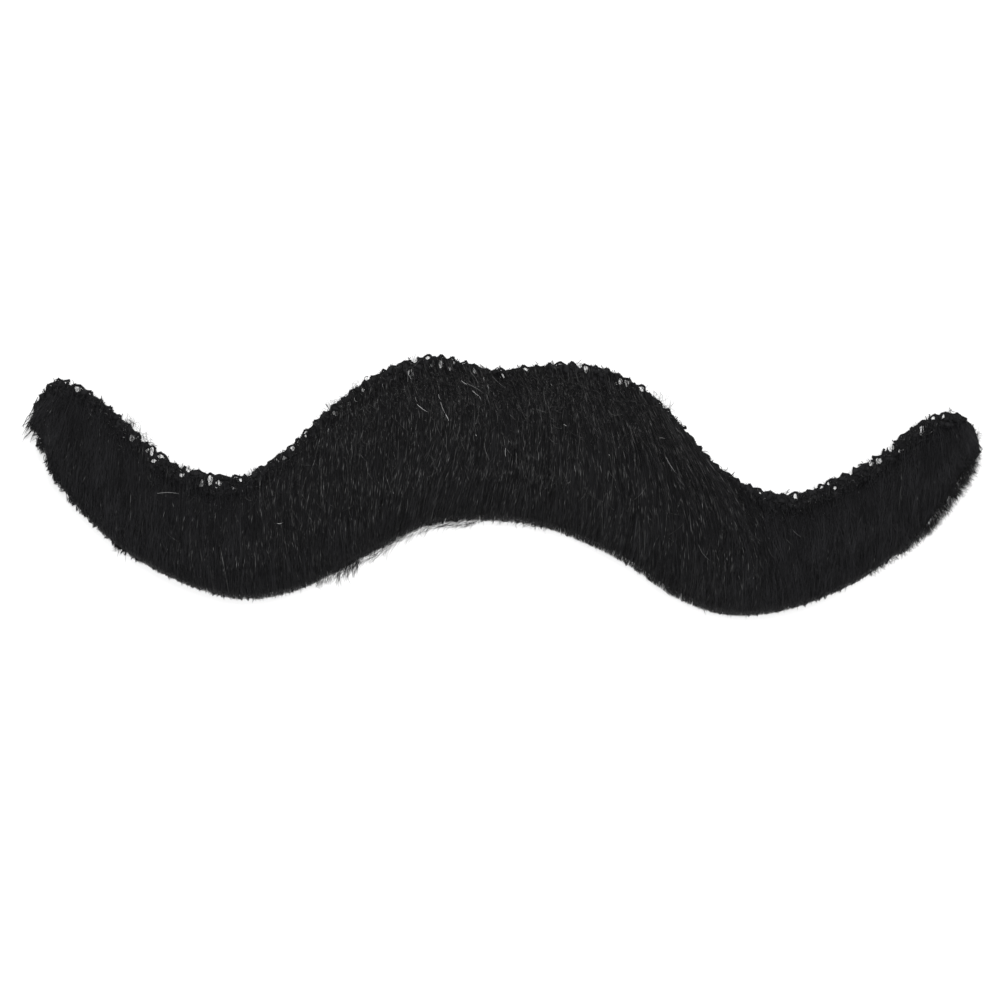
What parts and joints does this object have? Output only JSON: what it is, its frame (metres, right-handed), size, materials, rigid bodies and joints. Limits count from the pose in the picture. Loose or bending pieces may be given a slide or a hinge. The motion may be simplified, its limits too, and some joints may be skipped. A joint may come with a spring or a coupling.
{
  "type": "fake moustache",
  "caption": "Stick-on costume moustache: combed black hair pile on a coarse knitted net with open meshes along its upper edge, and a plain adhesive strip behind.",
  "frame": {"origin": "middle of the adhesive strip's sticking face", "axes": "+X along the moustache towards its right end as seen from the front, +Y up the face, +Z out of the face"},
  "size_m": [0.1589, 0.0431, 0.0077],
  "materials": {
    "adhesive": "smooth off-white release film on an adhesive strip",
    "net": "coarse black knitted yarn net",
    "hair": "combed black synthetic hair with a soft sheen"
  },
  "bodies": {
    "root": {"adhesive_strip": "adhesive", "net_backing": "net", "fur_pile": "hair"}
  },
  "joints": []
}
